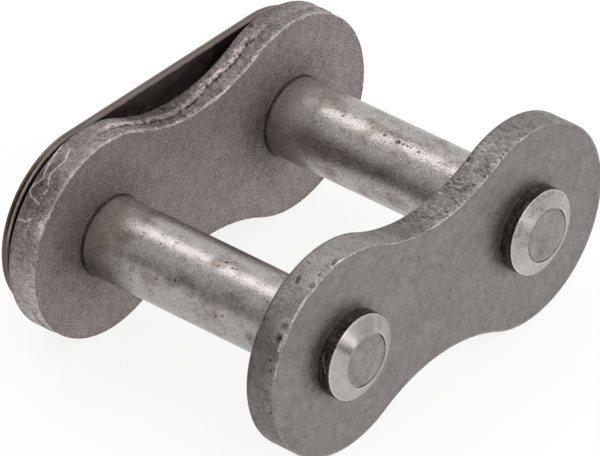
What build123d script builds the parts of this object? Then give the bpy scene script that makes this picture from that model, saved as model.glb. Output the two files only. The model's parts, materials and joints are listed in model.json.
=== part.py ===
"""Spring-clip connecting link of a roller chain: two pins, two waisted plates and a clip.

The frame: +X runs from the left pin to the right pin, +Y along the pins from the heads to the clip,
+Z is up. The origin lies on the left pin's axis, midway between the two plates. All sizes in millimetres.
"""

from build123d import *
from math import hypot, sqrt
import os

# Chain sizes
pitch = 25.4
plate_gap = 25.6
plate_thickness = 3.3
plate_end_radius = 10.4
waist_half_height = 7.3
plate_edge_round = 0.4

# Pins, from the head to the clip end
press_seat_radius = 4.3
shank_radius = 4.0
slip_seat_radius = 3.8
groove_radius = 3.0
head_side_height = 1.3
head_height = 2.1
head_flat_radius = 2.65
head_edge_round = 0.1
shoulder_contact = 0.08
shoulder_bevel_length = 0.3
end_collar_length = 1.7
end_bevel = 0.6

# Spring clip, seen along the pins
clip_thickness = 0.9
clip_half_height = 9.2
clip_to_plate = 1.0
clip_neck_length = 4.2
clip_window_half_height = 4.3
clip_window_round = 0.6
clip_seat_lead = 1.5
clip_throat_half_height = 2.5
clip_throat_length = 0.6
clip_mouth_half_height = 6.0
clip_tip_round = 1.0
clip_corner_round = 0.3
clip_edge_round = 0.15

# Clearances
slip_clearance = 0.04
groove_side_clearance = 0.1
groove_bottom_clearance = 0.03

# Stations along the pins
inner_face = plate_gap / 2
outer_face = inner_face + plate_thickness
clip_near_face = outer_face + clip_to_plate
clip_far_face = clip_near_face + clip_thickness
groove_start = clip_near_face - groove_side_clearance
groove_end = clip_far_face + groove_side_clearance
pin_end = groove_end + end_collar_length

# The waist is one large arc above and one below, each tangent to both round ends
half_pitch = pitch / 2
waist_radius = (half_pitch**2 + waist_half_height**2 - plate_end_radius**2) / (
    2 * (plate_end_radius - waist_half_height)
)
waist_centre_height = waist_half_height + waist_radius
end_to_waist_centre = hypot(half_pitch, waist_centre_height)
tangent_x = half_pitch * plate_end_radius / end_to_waist_centre
tangent_z = waist_centre_height * plate_end_radius / end_to_waist_centre

# The clip grips the bottom of both grooves, and its throat starts where it leaves the right one
clip_seat_radius = groove_radius + groove_bottom_clearance
clip_window_end = pitch - clip_seat_lead
clip_window_length = clip_window_end - clip_neck_length
clip_throat_start = pitch + sqrt(clip_seat_radius**2 - clip_throat_half_height**2)
clip_mouth_start = clip_throat_start + clip_throat_length
clip_open_end = pitch + clip_half_height
clip_corner_reach = clip_seat_radius + groove_bottom_clearance

os.makedirs("parts", exist_ok=True)


def across_pins(y):
    """Plane across the pins at station y, with its x along +X and its y along +Z. It looks towards the heads."""
    return Plane(origin=(0, y, 0), x_dir=(1, 0, 0), z_dir=(0, -1, 0))


def waisted_outline():
    """Draw a plate's outline: two round ends of one radius, joined by the two waist arcs."""
    left_top = (tangent_x, tangent_z)
    left_foot = (tangent_x, -tangent_z)
    right_top = (pitch - tangent_x, tangent_z)
    right_foot = (pitch - tangent_x, -tangent_z)
    ThreePointArc(left_foot, (-plate_end_radius, 0), left_top)
    ThreePointArc(left_top, (half_pitch, waist_half_height), right_top)
    ThreePointArc(right_top, (pitch + plate_end_radius, 0), right_foot)
    ThreePointArc(right_foot, (half_pitch, -waist_half_height), left_foot)


# Front plate, pressed on the pins. The punch rolled its inner edge over and left its outer edge sharp.
with BuildPart() as front_plate:
    with BuildSketch(across_pins(-inner_face)):
        with BuildLine():
            waisted_outline()
        make_face()
        with Locations((0, 0), (pitch, 0)):
            Circle(press_seat_radius, mode=Mode.SUBTRACT)
    extrude(amount=plate_thickness)
    rolled_side = front_plate.faces().sort_by(Axis.Y)[-1]
    fillet(rolled_side.outer_wire().edges(), radius=plate_edge_round)
front_plate.part.label = "front_plate"
export_step(front_plate.part, "parts/front_plate.step")

# Connecting plate, slid over the far ends of the pins up to their shoulders, with its rolled edge outside
with BuildPart() as connecting_plate:
    with BuildSketch(across_pins(outer_face)):
        with BuildLine():
            waisted_outline()
        make_face()
        with Locations((0, 0), (pitch, 0)):
            Circle(slip_seat_radius + slip_clearance, mode=Mode.SUBTRACT)
    extrude(amount=plate_thickness)
    rolled_side = connecting_plate.faces().sort_by(Axis.Y)[-1]
    fillet(rolled_side.outer_wire().edges(), radius=plate_edge_round)
connecting_plate.part.label = "connecting_plate"
export_step(connecting_plate.part, "parts/connecting_plate.step")


def turned_pin(x, label):
    """Make and write one pin: bevelled head, press seat, shank, slip seat, clip groove and end collar."""
    shoulder_radius = slip_seat_radius + slip_clearance + shoulder_contact
    with BuildPart() as pin:
        with BuildSketch(Plane(origin=(x, 0, 0), x_dir=(1, 0, 0), z_dir=(0, 0, 1))):
            with BuildLine():
                Polyline(
                    (0, -outer_face - head_height),
                    (head_flat_radius, -outer_face - head_height),
                    (press_seat_radius, -outer_face - head_side_height),
                    (press_seat_radius, -inner_face),
                    (shank_radius, -inner_face),
                    (shank_radius, inner_face - shoulder_bevel_length),
                    (shoulder_radius, inner_face),
                    (slip_seat_radius, inner_face),
                    (slip_seat_radius, groove_start),
                    (groove_radius, groove_start),
                    (groove_radius, groove_end),
                    (slip_seat_radius, groove_end),
                    (slip_seat_radius, pin_end - end_bevel),
                    (slip_seat_radius - end_bevel, pin_end),
                    (0, pin_end),
                    close=True,
                )
            make_face()
        revolve(axis=Axis((x, 0, 0), (0, 1, 0)))
        head_rims = pin.edges().filter_by(GeomType.CIRCLE).sort_by(Axis.Y)[:2]
        fillet(head_rims, radius=head_edge_round)
    pin.part.label = label
    export_step(pin.part, f"parts/{label}.step")


turned_pin(0, "left_pin")
turned_pin(pitch, "right_pin")

# Spring clip: closed round the left pin's groove, sprung over the right pin's groove, with a flared mouth
with BuildPart() as spring_clip:
    with BuildSketch(across_pins(clip_far_face)) as clip_profile:
        with Locations((half_pitch, 0)):
            SlotCenterToCenter(pitch, 2 * clip_half_height)
        with Locations((clip_neck_length / 2, 0)):
            SlotCenterToCenter(clip_neck_length, 2 * clip_seat_radius, mode=Mode.SUBTRACT)
        with Locations((clip_neck_length + clip_window_length / 2, 0)):
            RectangleRounded(
                clip_window_length,
                2 * clip_window_half_height,
                clip_window_round,
                mode=Mode.SUBTRACT,
            )
        with Locations((pitch, 0)):
            Circle(clip_seat_radius, mode=Mode.SUBTRACT)
        with BuildLine():
            Polyline(
                (pitch, clip_throat_half_height),
                (clip_mouth_start, clip_throat_half_height),
                (clip_open_end, clip_mouth_half_height),
                (clip_open_end, -clip_mouth_half_height),
                (clip_mouth_start, -clip_throat_half_height),
                (pitch, -clip_throat_half_height),
                close=True,
            )
        make_face(mode=Mode.SUBTRACT)
        prong_tips = clip_profile.vertices().sort_by(Axis.X)[-2:]
        fillet(prong_tips, radius=clip_tip_round)
        slot_corners = clip_profile.vertices().filter_by_position(Axis.X, clip_neck_length / 2, clip_open_end)
        seat_corners = slot_corners.filter_by_position(Axis.Y, -clip_corner_reach, clip_corner_reach)
        fillet(seat_corners, radius=clip_corner_round)
    extrude(amount=clip_thickness)
    flat_sides = spring_clip.faces().filter_by(Axis.Y)
    fillet(flat_sides.edges(), radius=clip_edge_round)
spring_clip.part.label = "spring_clip"
export_step(spring_clip.part, "parts/spring_clip.step")
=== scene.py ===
"""Connecting link of a roller chain, dressed: two stamped plates, two turned pins and a spring clip.

The link stands on the round ends of its plates. +X runs from the left pin to the right pin, +Y from the
pins' heads to the clip and +Z up. The origin lies on the left pin's axis, midway between the plates.
"""

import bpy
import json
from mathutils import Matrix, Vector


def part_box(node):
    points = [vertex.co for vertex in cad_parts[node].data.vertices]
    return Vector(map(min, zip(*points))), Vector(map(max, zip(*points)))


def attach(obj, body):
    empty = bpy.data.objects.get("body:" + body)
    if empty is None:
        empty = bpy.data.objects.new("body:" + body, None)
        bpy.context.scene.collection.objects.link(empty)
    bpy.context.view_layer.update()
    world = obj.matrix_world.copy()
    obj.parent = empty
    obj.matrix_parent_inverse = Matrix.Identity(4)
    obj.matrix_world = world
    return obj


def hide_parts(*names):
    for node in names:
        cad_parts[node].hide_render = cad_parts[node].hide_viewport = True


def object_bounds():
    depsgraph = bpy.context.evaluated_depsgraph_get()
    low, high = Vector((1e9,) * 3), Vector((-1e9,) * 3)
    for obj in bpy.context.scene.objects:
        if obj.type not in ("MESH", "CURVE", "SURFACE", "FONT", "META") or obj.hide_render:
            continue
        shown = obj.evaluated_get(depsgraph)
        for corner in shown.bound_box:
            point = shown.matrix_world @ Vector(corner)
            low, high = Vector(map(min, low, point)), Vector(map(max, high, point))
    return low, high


bl_info = {
    "name": "Roller Chain Connecting Link",
    "version": (1, 0, 0),
    "blender": (4, 5, 0),
    "location": "3D Viewport > Sidebar > Chain Link",
    "description": "Builds the stamped plates, turned pins and spring clip of a chain's connecting link",
    "category": "Add Mesh",
}

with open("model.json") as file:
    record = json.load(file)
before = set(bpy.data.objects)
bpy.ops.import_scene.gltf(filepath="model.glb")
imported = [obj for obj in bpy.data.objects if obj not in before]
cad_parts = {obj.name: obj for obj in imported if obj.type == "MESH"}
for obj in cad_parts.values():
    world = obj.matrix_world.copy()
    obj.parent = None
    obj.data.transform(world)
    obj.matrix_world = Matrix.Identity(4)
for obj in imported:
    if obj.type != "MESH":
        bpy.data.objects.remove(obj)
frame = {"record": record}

import json
from math import atan2, ceil, cos, hypot, pi, radians, sin, sqrt

import bmesh
import bpy
import numpy as np
from bpy.props import FloatProperty, FloatVectorProperty, IntProperty, PointerProperty
from mathutils import Matrix, Vector, noise

MM = 0.001
SOLID_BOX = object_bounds()

# Sizes and places read from the solid model
MOUNTS = {mount["name"]: mount for mount in frame["record"]["mounts"]}
PITCH = MOUNTS["right_pin"]["pos_m"][0] - MOUNTS["left_pin"]["pos_m"][0]
SHANK_RADIUS = MOUNTS["left_pin"]["dims"]["r_mm"] * MM
PLATE_LOW, PLATE_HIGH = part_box("front_plate")
FAR_PLATE_LOW, FAR_PLATE_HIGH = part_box("connecting_plate")
PIN_LOW, PIN_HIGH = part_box("left_pin")
CLIP_LOW, CLIP_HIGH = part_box("spring_clip")
PLATE_THICKNESS = PLATE_HIGH.y - PLATE_LOW.y
HALF_PITCH = PITCH / 2
FLOOR_HEIGHT = SOLID_BOX[0][2]

# Stands a sheet part up across the pins, with its near face towards the heads
TURN_OVER = Matrix.Rotation(radians(180), 4, "Z") @ Matrix.Rotation(radians(90), 4, "X")

# Points round and along a plate's hole, and how near two points are merged
HOLE_SEGMENTS = 128
HOLE_ROWS = 12
MERGE_REACH = 0.004 * MM
DOUBLES_REACH = 0.002 * MM

# Corners that are turned further than this stay sharp
SHEET_SHARP_ANGLE = radians(50)
PIN_SHARP_ANGLE = radians(32)


# Settings that a user would change


def length_setting(name, description, default):
    """Property for a length in metres."""
    return FloatProperty(
        name=name, description=description, default=default, subtype="DISTANCE", unit="LENGTH"
    )


def angle_setting(name, description, default):
    """Property for an angle in radians."""
    return FloatProperty(
        name=name, description=description, default=default, subtype="ANGLE", unit="ROTATION"
    )


def colour_setting(name, description, default):
    """Property for a colour."""
    return FloatVectorProperty(
        name=name, description=description, default=default, subtype="COLOR", size=3
    )


class PlateSettings(bpy.types.PropertyGroup):
    """Sizes and finish of the two stamped plates."""

    end_radius: length_setting("End Radius", "Radius of both round ends", PLATE_HIGH.z)
    waist_half_height: length_setting(
        "Waist Half Height", "Half the plate's height at its narrowest point", 7.3 * MM
    )
    edge_round: length_setting(
        "Edge Round", "Radius to which the punch rolled over the outer edge", 0.4 * MM
    )
    corner_round: length_setting(
        "Corner Round", "Radius to which tumbling wore the burred corner", 0.16 * MM
    )
    rim_width: length_setting("Rim Width", "Width of the worn rim on both faces", 0.7 * MM)
    tear_height: length_setting(
        "Tear Height", "Height of the torn part of the edge, from the burred face", 1.5 * MM
    )
    length_step: length_setting("Length Step", "Spacing of the points along the edge", 0.11 * MM)
    width_step: length_setting("Width Step", "Spacing of the points across the edge", 0.066 * MM)
    front_colour: colour_setting("Front Colour", "Tumbled steel of the front plate", (0.247, 0.229, 0.22))
    far_colour: colour_setting("Far Colour", "Blasted steel of the connecting plate", (0.278, 0.24, 0.229))


class PinSettings(bpy.types.PropertyGroup):
    """Sizes and finish of the two turned pins."""

    slip_seat_radius: length_setting(
        "Slip Seat Radius", "Radius where the connecting plate slides on", 3.8 * MM
    )
    groove_radius: length_setting("Groove Radius", "Radius at the bottom of the clip's groove", 3.0 * MM)
    head_flat_radius: length_setting("Head Flat Radius", "Radius of the flat end of the head", 2.65 * MM)
    head_side_height: length_setting(
        "Head Side Height", "How far the head's straight side stands proud of the front plate", 1.3 * MM
    )
    ring_depth: length_setting("Ring Depth", "Depth of the rings left by grinding", 0.002 * MM)
    segments: IntProperty(
        name="Segments",
        description="Points round the pin",
        default=220,
    )
    colour: colour_setting("Colour", "Ground steel of the pins", (0.37, 0.342, 0.332))


class ClipSettings(bpy.types.PropertyGroup):
    """Sizes and finish of the spring clip."""

    neck_length: length_setting(
        "Neck Length", "Length of the narrow slot beside the closed end's seat", 4.2 * MM
    )
    window_half_height: length_setting(
        "Window Half Height", "Half the height of the slot between the arms", 4.3 * MM
    )
    seat_radius: length_setting("Seat Radius", "Radius of the seats that grip the pins' grooves", 3.03 * MM)
    throat_half_height: length_setting(
        "Throat Half Height", "Half the gap between the prongs, past the open end's seat", 2.5 * MM
    )
    edge_round: length_setting("Edge Round", "Radius of the clip's outer edges", 0.15 * MM)
    colour: colour_setting("Colour", "Tempered spring steel of the clip", (0.134, 0.11, 0.103))


class StageSettings(bpy.types.PropertyGroup):
    """Camera, floor and light."""

    azimuth: angle_setting("Azimuth", "Camera's turn about Z, from a view along +Y", radians(-48.09))
    elevation: angle_setting("Elevation", "Camera's height above the horizon", radians(34.76))
    roll: angle_setting("Roll", "Camera's turn about its own axis", radians(-1.41))
    distance: length_setting(
        "Distance", "Distance from the camera to the point that it looks at", 758.96 * MM
    )
    target: FloatVectorProperty(
        name="Target",
        description="Point that the camera looks at",
        default=(12.44 * MM, 0.588 * MM, -0.482 * MM),
        size=3,
        subtype="TRANSLATION",
        unit="LENGTH",
    )
    lens: FloatProperty(
        name="Lens",
        description="Focal length in millimetres on a sensor 36 mm wide",
        default=495.15,
    )
    floor_radius: length_setting("Floor Radius", "Radius at which the floor starts to curve up", 2.8)


# Node trees


class Field:
    """A number or vector at every point of a node tree, which takes part in plain arithmetic."""

    def __init__(self, graph, socket):
        self.graph = graph
        self.socket = socket

    def __add__(self, other):
        return self.graph.math("ADD", self, other)

    def __radd__(self, other):
        return self.graph.math("ADD", other, self)

    def __sub__(self, other):
        return self.graph.math("SUBTRACT", self, other)

    def __rsub__(self, other):
        return self.graph.math("SUBTRACT", other, self)

    def __mul__(self, other):
        return self.graph.math("MULTIPLY", self, other)

    def __rmul__(self, other):
        return self.graph.math("MULTIPLY", other, self)

    def __truediv__(self, other):
        return self.graph.math("DIVIDE", self, other)


class Graph:
    """Adds nodes to one tree and links them. Its waves and spots lie over a place and start from a seed."""

    def __init__(self, tree):
        self.tree = tree
        self.place = None
        self.seed = 0.0

    def node(self, kind, inputs=None, **settings):
        """Add a node, with its settings, and with values or fields for its inputs."""
        node = self.tree.nodes.new(kind)
        for name, value in settings.items():
            setattr(node, name, value)
        for name, value in (inputs or {}).items():
            self.feed(node.inputs[name], value)
        return node

    def feed(self, socket, value):
        """Give an input socket a field, another node's output or a plain value."""
        if isinstance(value, Field):
            value = value.socket
        if isinstance(value, bpy.types.NodeSocket):
            self.tree.links.new(value, socket)
        else:
            socket.default_value = value

    def output(self, kind, inputs=None, **settings):
        """Add a node and return its first output."""
        return Field(self, self.node(kind, inputs, **settings).outputs[0])

    def geometry(self, kind, inputs=None, **settings):
        """Add a geometry node and return its first output."""
        return self.output("GeometryNode" + kind, inputs, **settings)

    def math(self, operation, *values):
        """Combine numbers with one Math node."""
        node = self.node("ShaderNodeMath", operation=operation)
        for socket, value in zip(node.inputs, values):
            self.feed(socket, value)
        return Field(self, node.outputs[0])

    def smooth(self, value, low, high):
        """Rise smoothly from 0 to 1 while the value goes from low to high."""
        inputs = {"Value": value, "From Min": low, "From Max": high}
        node = self.node("ShaderNodeMapRange", inputs, interpolation_type="SMOOTHSTEP")
        return Field(self, node.outputs["Result"])

    def band(self, value, outer, inner):
        """Rise smoothly from 0 to 1 as a number, of either sign, shrinks from the outer size to the inner."""
        return self.smooth(self.math("ABSOLUTE", value), outer, inner)

    def within(self, value, low, high):
        """Keep a number between two limits."""
        return self.math("MINIMUM", self.math("MAXIMUM", value, low), high)

    def combine(self, x, y, z):
        """Make a vector of three numbers."""
        return self.output("ShaderNodeCombineXYZ", {"X": x, "Y": y, "Z": z})

    def parts(self, vector):
        """Split a vector into its three numbers."""
        node = self.node("ShaderNodeSeparateXYZ", {"Vector": vector})
        return [Field(self, output) for output in node.outputs]

    def vectors(self, operation, first, second, output="Vector"):
        """Combine two vectors with one Vector Math node."""
        node = self.node("ShaderNodeVectorMath", operation=operation)
        self.feed(node.inputs[0], first)
        self.feed(node.inputs[1], second)
        return Field(self, node.outputs[output])

    def stretch(self, vector, scale):
        """Scale a vector by three numbers."""
        return self.vectors("MULTIPLY", vector, scale)

    def distance(self, first, second):
        """How far apart two points are."""
        return self.vectors("DISTANCE", first, second, "Value")

    def noise(self, vector, scale, seed, detail=2.0, roughness=0.5, stretch=None):
        """Soft noise about one half, with features about 1 / scale apart."""
        if stretch:
            vector = self.stretch(vector, stretch)
        inputs = {"Vector": vector, "W": seed, "Scale": scale, "Detail": detail, "Roughness": roughness}
        return self.output("ShaderNodeTexNoise", inputs, noise_dimensions="4D")

    def waves(self, scale, seed, detail=2.0, roughness=0.5, stretch=None):
        """Soft noise about zero."""
        return self.noise(self.place, scale, self.seed + seed, detail, roughness, stretch) - 0.5

    def spots(self, scale, seed, low, high, detail=2.0, roughness=0.5, stretch=None):
        """Patches that rise from 0 to 1 while soft noise goes from low to high."""
        noise = self.noise(self.place, scale, self.seed + seed, detail, roughness, stretch)
        return self.smooth(noise, low, high)

    def pin_distance(self, place):
        """Distance from the nearer pin's axis, for a place in millimetres."""
        x, _, z = self.parts(place)
        along = self.math("ABSOLUTE", x - HALF_PITCH / MM) - HALF_PITCH / MM
        return self.math("SQRT", along * along + z * z)

    def blend(self, amount, first, second):
        """Go from one number to another as the amount goes from 0 to 1."""
        return first + (second - first) * amount

    def store(self, geometry, name, value):
        """Keep a number at each point of a geometry under a name."""
        inputs = {"Geometry": geometry, "Name": name, "Value": value}
        return self.geometry("StoreNamedAttribute", inputs, data_type="FLOAT", domain="POINT")


# The tree that stamps a part from sheet


def edge_profile(graph, size):
    """Section of a stamped edge as a curve: near rim, near corner, wall, rolled-over edge and far rim.

    Its x runs outwards from the outline and its y down through the sheet. The distance walked along it is
    kept as the attribute across.
    """
    corner = size["Corner Round"]
    edge = size["Edge Round"]
    rim = size["Rim Width"]
    flat = rim - corner
    corner_bend = corner * (pi / 2)
    edge_bend = edge * (pi / 2)
    wall = size["Thickness"] - corner - edge
    wall_start = flat + corner_bend
    bend_start = wall_start + wall
    length = bend_start + edge_bend + rim - edge
    rows = graph.math("CEIL", length / size["Mesh Step"])
    line = graph.geometry("MeshLine", {"Count": rows + 1}, mode="OFFSET")
    index = graph.geometry("InputIndex")
    walked = index * length / rows
    near_flat = graph.within(walked, 0.0, flat)
    near_turn = graph.within(walked - flat, 0.0, corner_bend) / corner
    climbed = graph.within(walked - wall_start, 0.0, wall)
    far_turn = graph.within(walked - bend_start, 0.0, edge_bend) / edge
    far_flat = graph.math("MAXIMUM", walked - bend_start - edge_bend, 0.0)
    outwards = near_flat - rim + corner * graph.math("SINE", near_turn)
    outwards = outwards - edge * (1.0 - graph.math("COSINE", far_turn)) - far_flat
    height = corner * (1.0 - graph.math("COSINE", near_turn)) + climbed + edge * graph.math("SINE", far_turn)
    numbered = graph.store(line, "across", walked)
    position = graph.combine(outwards, height * -1.0, 0.0)
    placed = graph.geometry("SetPosition", {"Geometry": numbered, "Position": position})
    return graph.geometry("MeshToCurve", {"Mesh": placed}), length, length / rows


def stamped_relief(graph, size, across):
    """How deep each point of the edge lies, how far its burr stands up, and what marks it.

    The punch leaves a smooth band beside the rolled-over edge. At a ragged line with a lumpy ridge the metal
    tears off rough, a little deeper, down to a burr at the near face. Gouges run across the edge.
    """
    place = graph.geometry("InputPosition")
    seed = size["Seed"]
    graph.place, graph.seed = place, seed
    corner = size["Corner Round"]
    height = across - size["Rim Width"] + corner * (2.0 - pi / 2)
    wall_end = size["Thickness"] - size["Edge Round"]
    on_wall = graph.smooth(height, -0.05 * MM, 0.12 * MM)
    on_wall = on_wall * graph.smooth(height, wall_end + 0.3 * MM, wall_end)
    long_wave = graph.waves(170.0, 0.0)
    ragged = graph.waves(1900.0, 3.0, detail=3.0, roughness=0.65)
    tear_line = size["Tear Height"] + long_wave * (1.9 * MM) + ragged * (0.75 * MM)
    past_line = height - tear_line
    torn = graph.smooth(past_line, 0.05 * MM, -0.08 * MM) * on_wall
    worn_reach = size["Wear Radius"]
    worn = graph.smooth(graph.distance(place, size["Wear Centre"]), worn_reach, worn_reach * 0.5)
    patchy = graph.spots(210.0, 7.0, 0.4, 0.6) * 0.25
    patchy = graph.math("MAXIMUM", patchy, worn)
    crack = graph.band(past_line + 0.05 * MM, 0.17 * MM, 0.04 * MM)
    crack = crack * patchy * on_wall
    lumps = graph.noise(place, 1500.0, seed + 17.0, detail=4.0, roughness=0.7)
    ridge = graph.band(past_line - 0.32 * MM, 0.5 * MM, 0.24 * MM)
    crumbled = graph.noise(place, 3600.0, seed + 19.0, detail=2.0, roughness=0.7)
    ridge = ridge * graph.smooth(lumps + (crumbled - 0.5) * 0.8, 0.36, 0.54) * patchy * on_wall
    scraped = graph.noise(place, 3000.0, seed + 11.0, stretch=(1.0, 1.0, 0.28))
    gouge = graph.smooth(scraped + worn * 0.1, 0.58, 0.72) * on_wall
    deep = torn * (0.1 + lumps * 0.9 + crumbled * 0.5) * size["Tear Depth"]
    deep = deep + crack * lumps * size["Tear Depth"] * 1.3
    deep = deep + (on_wall - ridge) * size["Ridge Height"]
    deep = deep + gouge * size["Gouge Depth"]
    deep = deep + on_wall * scraped * size["Gouge Depth"] * 0.6
    rim = graph.smooth(across, 0.0, size["Rim Width"] * 0.9)
    rim = rim * graph.smooth(across, size["Profile Length"], size["Profile Length"] - size["Rim Width"] * 0.5)
    dents = graph.spots(900.0, 23.0, 0.52, 0.8, detail=3.0, roughness=0.6)
    deep = deep + rim * dents * size["Tear Depth"] * 0.5
    lip = graph.spots(1500.0, 29.0, 0.3, 0.68, detail=3.0, roughness=0.7)
    lip_width = corner * (0.25 + lip * 1.2)
    burr = graph.band(height - corner * 0.2, lip_width, lip_width * 0.5)
    marks = {"wall": on_wall, "torn": torn, "ridge": ridge, "crack": crack, "gouge": gouge, "burr": burr}
    marks["rim"] = rim
    marks["feather"] = graph.smooth(height, 1.1 * MM, 0.15 * MM) * on_wall
    rolled = graph.smooth(height, wall_end - 0.05 * MM, wall_end + 0.12 * MM)
    marks["rolled"] = rolled * graph.smooth(height, wall_end + 0.5 * MM, wall_end + 0.3 * MM)
    return deep, burr * size["Burr Height"], marks


def stamping_tree(with_holes):
    """Node tree that stamps a sheet part from the closed outline that it is given.

    The outline lies in the XY plane. The near face lies at z = 0 and the far face at z = Thickness. The tree
    sweeps the section of the edge round the outline, roughens it, fills both faces and bores the holes.
    """
    tree = bpy.data.node_groups.new("Stamped Sheet", "GeometryNodeTree")
    tree.interface.new_socket("Geometry", in_out="INPUT", socket_type="NodeSocketGeometry")
    names = ["Thickness", "Edge Round", "Corner Round", "Rim Width", "Mesh Step", "Tear Height", "Tear Depth"]
    names += ["Ridge Height", "Gouge Depth", "Burr Height", "Wear Radius", "Seed"]
    names += ["Hole Radius", "Hole Spacing"] if with_holes else []
    for name in names:
        tree.interface.new_socket(name, in_out="INPUT", socket_type="NodeSocketFloat")
    tree.interface.new_socket("Wear Centre", in_out="INPUT", socket_type="NodeSocketVector")
    tree.interface.new_socket("Surface", in_out="INPUT", socket_type="NodeSocketMaterial")
    tree.interface.new_socket("Geometry", in_out="OUTPUT", socket_type="NodeSocketGeometry")
    graph = Graph(tree)
    inputs = graph.node("NodeGroupInput")
    size = {name: Field(graph, inputs.outputs[name]) for name in names + ["Wear Centre"]}

    # Sweep the edge round the outline
    profile, length, step = edge_profile(graph, size)
    size["Profile Length"] = length
    outline = graph.geometry("MeshToCurve", {"Mesh": inputs.outputs["Geometry"]})
    outline = graph.geometry("SetCurveNormal", {"Curve": outline}, mode="Z_UP")
    swept = graph.geometry("CurveToMesh", {"Curve": outline, "Profile Curve": profile})
    edge = graph.geometry("FlipFaces", {"Mesh": swept})
    across = graph.geometry("InputNamedAttribute", {"Name": "across"}, data_type="FLOAT")

    # Fill both faces from the edge's own borders
    hole_ring = None
    if with_holes:
        circle_sizes = {"Resolution": HOLE_SEGMENTS, "Radius": size["Hole Radius"]}
        circle = graph.geometry("CurvePrimitiveCircle", circle_sizes)
        rings = graph.node("GeometryNodeJoinGeometry")
        for side in (-0.5, 0.5):
            offset = graph.combine(size["Hole Spacing"] * side, 0.0, 0.0)
            moved = graph.geometry("Transform", {"Geometry": circle, "Translation": offset})
            graph.feed(rings.inputs[0], moved)
        hole_ring = rings.outputs[0]
    joined = graph.node("GeometryNodeJoinGeometry")
    borders = (
        (graph.math("LESS_THAN", across, step * 0.25), 0.0),
        (graph.math("GREATER_THAN", across, length - step * 0.25), size["Thickness"]),
    )
    for chosen, level in borders:
        border = graph.geometry("MeshToCurve", {"Mesh": edge, "Selection": chosen})
        loops = graph.node("GeometryNodeJoinGeometry")
        graph.feed(loops.inputs[0], border)
        if hole_ring:
            graph.feed(loops.inputs[0], hole_ring)
        face = graph.geometry("FillCurve", {"Curve": loops.outputs[0]}, mode="TRIANGLES")
        lift = {"Geometry": face, "Translation": graph.combine(0.0, 0.0, level)}
        graph.feed(joined.inputs[0], graph.geometry("Transform", lift))

    # Roughen the edge
    deep, burr, marks = stamped_relief(graph, size, across)
    normal = graph.geometry("InputNormal")
    inwards = graph.stretch(normal, graph.combine(deep * -1.0, deep * -1.0, deep * -1.0))
    moved = graph.vectors("ADD", inwards, graph.combine(0.0, 0.0, burr * -1.0))
    rough = edge
    for name, value in marks.items():
        rough = graph.store(rough, name, value)
    rough = graph.geometry("SetPosition", {"Geometry": rough, "Offset": moved})
    graph.feed(joined.inputs[0], rough)

    # Bore the holes
    if with_holes:
        row = graph.combine(0.0, size["Thickness"] * (-1.0 / (HOLE_ROWS - 1)), 0.0)
        line = graph.geometry("MeshLine", {"Count": HOLE_ROWS, "Offset": row}, mode="OFFSET")
        wall = graph.geometry("MeshToCurve", {"Mesh": line})
        bored = graph.geometry("CurveToMesh", {"Curve": hole_ring, "Profile Curve": wall})
        graph.feed(joined.inputs[0], bored)
    merging = {"Geometry": joined.outputs[0], "Distance": MERGE_REACH}
    whole = graph.geometry("MergeByDistance", merging)
    plain = graph.geometry("RemoveAttribute", {"Geometry": whole, "Name": "across"})
    real = graph.geometry("RealizeInstances", {"Geometry": plain})
    dressing = {"Geometry": real, "Material": inputs.outputs["Surface"]}
    dressed = graph.geometry("SetMaterial", dressing)
    graph.feed(graph.node("NodeGroupOutput").inputs[0], dressed)
    return tree


# Meshes


def new_piece(name, mesh):
    """Put a mesh in the scene as a piece at the origin."""
    piece = bpy.data.objects.new(name, mesh)
    bpy.context.scene.collection.objects.link(piece)
    return piece


def close_up(mesh, sharp_angle):
    """Merge stray doubles, point the faces outwards and mark the corners that stay sharp."""
    work = bmesh.new()
    work.from_mesh(mesh)
    bmesh.ops.remove_doubles(work, verts=work.verts, dist=DOUBLES_REACH)
    bmesh.ops.recalc_face_normals(work, faces=work.faces)
    if work.calc_volume(signed=True) < 0:
        bmesh.ops.reverse_faces(work, faces=work.faces)
    open_edges = [edge for edge in work.edges if not edge.is_manifold]
    if open_edges:
        raise RuntimeError(f"{mesh.name} is left open at {len(open_edges)} edges")
    work.to_mesh(mesh)
    work.free()
    mesh.shade_smooth()
    mesh.set_sharp_from_angle(angle=sharp_angle)


def chain(arcs, step):
    """Points of a closed outline: arcs of (centre, radius, start, end), joined by straight lines."""
    points = []
    ends = [
        [(cx + radius * cos(turn), cy + radius * sin(turn)) for turn in (start, end)]
        for (cx, cy), radius, start, end in arcs
    ]
    for i, ((cx, cy), radius, start, end) in enumerate(arcs):
        count = max(2, ceil(abs(end - start) * radius / step))
        turns = (start + (end - start) * k / count for k in range(count))
        points += [(cx + radius * cos(turn), cy + radius * sin(turn)) for turn in turns]
        (x0, y0), (x1, y1) = ends[i][1], ends[(i + 1) % len(arcs)][0]
        count = ceil((hypot(x1 - x0, y1 - y0) - 0.001 * MM) / step)
        points += [(x0 + (x1 - x0) * k / count, y0 + (y1 - y0) * k / count) for k in range(count)]
    return points


def plate_outline(plate):
    """Closed outline of a plate about its own centre: two round ends joined by two waist arcs."""
    end_radius = plate.end_radius
    half_height = plate.waist_half_height
    waist_radius = (HALF_PITCH**2 + half_height**2 - end_radius**2) / (2 * (end_radius - half_height))
    rise = half_height + waist_radius
    lean = atan2(rise, HALF_PITCH)
    arcs = (
        ((HALF_PITCH, 0), end_radius, lean - pi, pi - lean),
        ((0, rise), waist_radius, -lean, lean - pi),
        ((-HALF_PITCH, 0), end_radius, lean, 2 * pi - lean),
        ((0, -rise), waist_radius, pi - lean, lean),
    )
    return chain(arcs, plate.length_step)


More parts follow.
